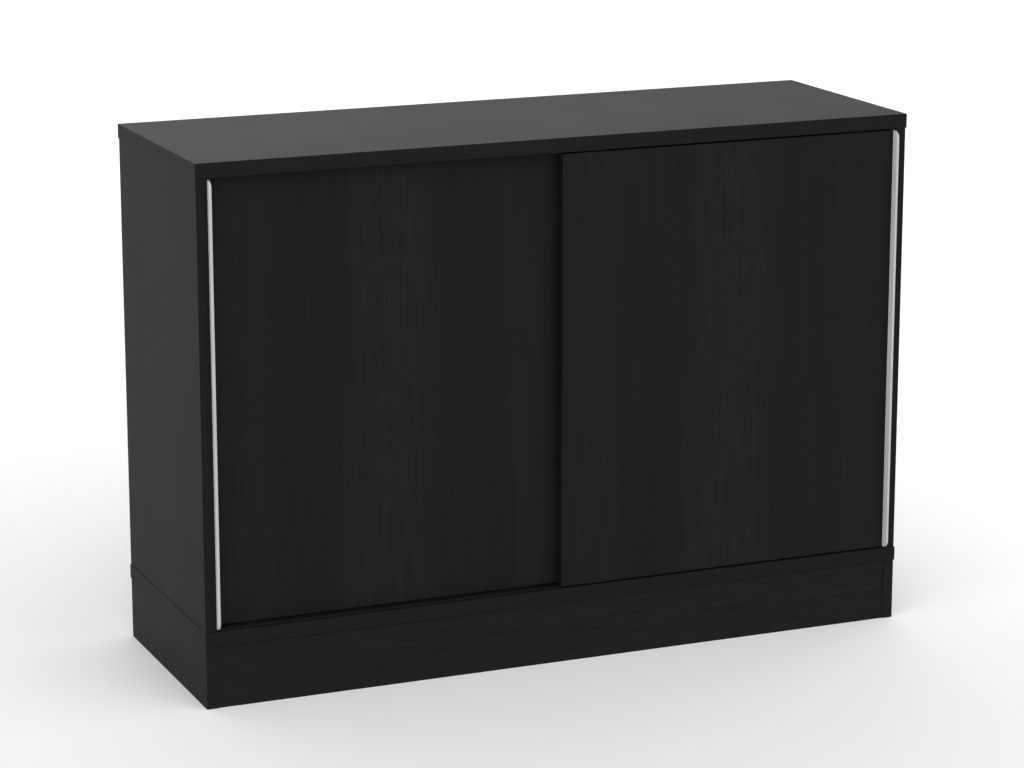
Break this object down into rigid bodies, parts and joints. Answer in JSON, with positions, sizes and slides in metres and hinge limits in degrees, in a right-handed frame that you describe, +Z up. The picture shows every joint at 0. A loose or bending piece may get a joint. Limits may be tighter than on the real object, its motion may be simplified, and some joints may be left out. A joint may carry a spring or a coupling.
{
  "type": "sliding door cabinet",
  "caption": "Low black woodgrain cabinet on a plinth, with bypassing sliding doors on rollers, full-height aluminium edge handles, a middle partition and adjustable shelves.",
  "frame": {"origin": "on the floor, in the middle of the plinth's footprint", "axes": "+X to the right along the cabinet, +Y to the back, +Z up; the doors are on the -Y side"},
  "size_m": [1.2, 0.412, 0.85],
  "materials": {
    "black_laminate": "satin, black woodgrain",
    "black_edging": "satin",
    "handle_aluminium": "brushed, clear anodised",
    "black_plastic": "moulded, fine texture",
    "nylon": "satin, black",
    "zinc_plated": "bright zinc plating",
    "raw_board": "sawn, unfinished",
    "beech": "unfinished",
    "black_rubber": "matte"
  },
  "bodies": {
    "carcass": {"back_panel": "black_laminate", "bottom_panel": "black_laminate", "bottom_panel_edge_band": "black_edging", "cam_bolts": "zinc_plated", "cam_locks": "zinc_plated", "carcass_screws": "zinc_plated", "centre_partition": "black_laminate", "door_stops": "black_rubber", "left_shelf": "black_laminate", "left_side_panel": "black_laminate", "lower_front_track": "black_plastic", "lower_rear_track": "black_plastic", "partition_dowels": "beech", "partition_edge_band": "black_edging", "plinth_back": "black_laminate", "plinth_blocks": "raw_board", "plinth_brace": "raw_board", "plinth_front": "black_laminate", "plinth_left": "black_laminate", "plinth_right": "black_laminate", "right_shelf": "black_laminate", "right_side_panel": "black_laminate", "shelf_edge_bands": "black_edging", "shelf_pins": "zinc_plated", "side_edge_bands": "black_edging", "top_panel": "black_laminate", "top_panel_edge_band": "black_edging", "upper_front_track": "black_plastic", "upper_rear_track": "black_plastic"},
    "front_door": {"front_door_edge_band": "black_edging", "front_door_fitting_screws": "zinc_plated", "front_door_handle": "handle_aluminium", "front_door_handle_screws": "zinc_plated", "front_door_left_guide_case": "black_plastic", "front_door_left_roller_case": "black_plastic", "front_door_panel": "black_laminate", "front_door_right_guide_case": "black_plastic", "front_door_right_roller_case": "black_plastic", "front_door_roller_axles": "zinc_plated"},
    "rear_door": {"rear_door_edge_band": "black_edging", "rear_door_fitting_screws": "zinc_plated", "rear_door_handle": "handle_aluminium", "rear_door_handle_screws": "zinc_plated", "rear_door_left_guide_case": "black_plastic", "rear_door_left_roller_case": "black_plastic", "rear_door_panel": "black_laminate", "rear_door_right_guide_case": "black_plastic", "rear_door_right_roller_case": "black_plastic", "rear_door_roller_axles": "zinc_plated"},
    "front_door_left_roller": {"front_door_left_roller": "nylon"},
    "front_door_right_roller": {"front_door_right_roller": "nylon"},
    "rear_door_left_roller": {"rear_door_left_roller": "nylon"},
    "rear_door_right_roller": {"rear_door_right_roller": "nylon"},
    "front_door_left_top_guide": {"front_door_left_top_guide": "black_plastic"},
    "front_door_right_top_guide": {"front_door_right_top_guide": "black_plastic"},
    "rear_door_left_top_guide": {"rear_door_left_top_guide": "black_plastic"},
    "rear_door_right_top_guide": {"rear_door_right_top_guide": "black_plastic"}
  },
  "joints": [
    {"name": "front_door_slide", "type": "slide", "parent": "carcass", "child": "front_door", "axis": [1, 0, 0], "range_m": [-0.57, 0]},
    {"name": "rear_door_slide", "type": "slide", "parent": "carcass", "child": "rear_door", "axis": [1, 0, 0], "range_m": [0, 0.57]},
    {"name": "front_door_left_roller_spin", "type": "hinge", "parent": "front_door", "child": "front_door_left_roller", "pos_m": [0.055, -0.189, 0.132], "axis": [0, 1, 0], "continuous": true},
    {"name": "front_door_right_roller_spin", "type": "hinge", "parent": "front_door", "child": "front_door_right_roller", "pos_m": [0.517, -0.189, 0.132], "axis": [0, 1, 0], "continuous": true},
    {"name": "rear_door_left_roller_spin", "type": "hinge", "parent": "rear_door", "child": "rear_door_left_roller", "pos_m": [-0.517, -0.165, 0.132], "axis": [0, 1, 0], "continuous": true},
    {"name": "rear_door_right_roller_spin", "type": "hinge", "parent": "rear_door", "child": "rear_door_right_roller", "pos_m": [-0.055, -0.165, 0.132], "axis": [0, 1, 0], "continuous": true},
    {"name": "front_door_left_top_guide_slide", "type": "slide", "parent": "front_door", "child": "front_door_left_top_guide", "axis": [0, 0, 1], "range_m": [-0.012, 0]},
    {"name": "front_door_right_top_guide_slide", "type": "slide", "parent": "front_door", "child": "front_door_right_top_guide", "axis": [0, 0, 1], "range_m": [-0.012, 0]},
    {"name": "rear_door_left_top_guide_slide", "type": "slide", "parent": "rear_door", "child": "rear_door_left_top_guide", "axis": [0, 0, 1], "range_m": [-0.012, 0]},
    {"name": "rear_door_right_top_guide_slide", "type": "slide", "parent": "rear_door", "child": "rear_door_right_top_guide", "axis": [0, 0, 1], "range_m": [-0.012, 0]}
  ],
  "couplings": [
    {"joint": "front_door_left_roller_spin", "follows": "front_door_slide", "rad_per_m": 71.429},
    {"joint": "front_door_right_roller_spin", "follows": "front_door_slide", "rad_per_m": 71.429},
    {"joint": "rear_door_left_roller_spin", "follows": "rear_door_slide", "rad_per_m": 71.429},
    {"joint": "rear_door_right_roller_spin", "follows": "rear_door_slide", "rad_per_m": 71.429}
  ]
}
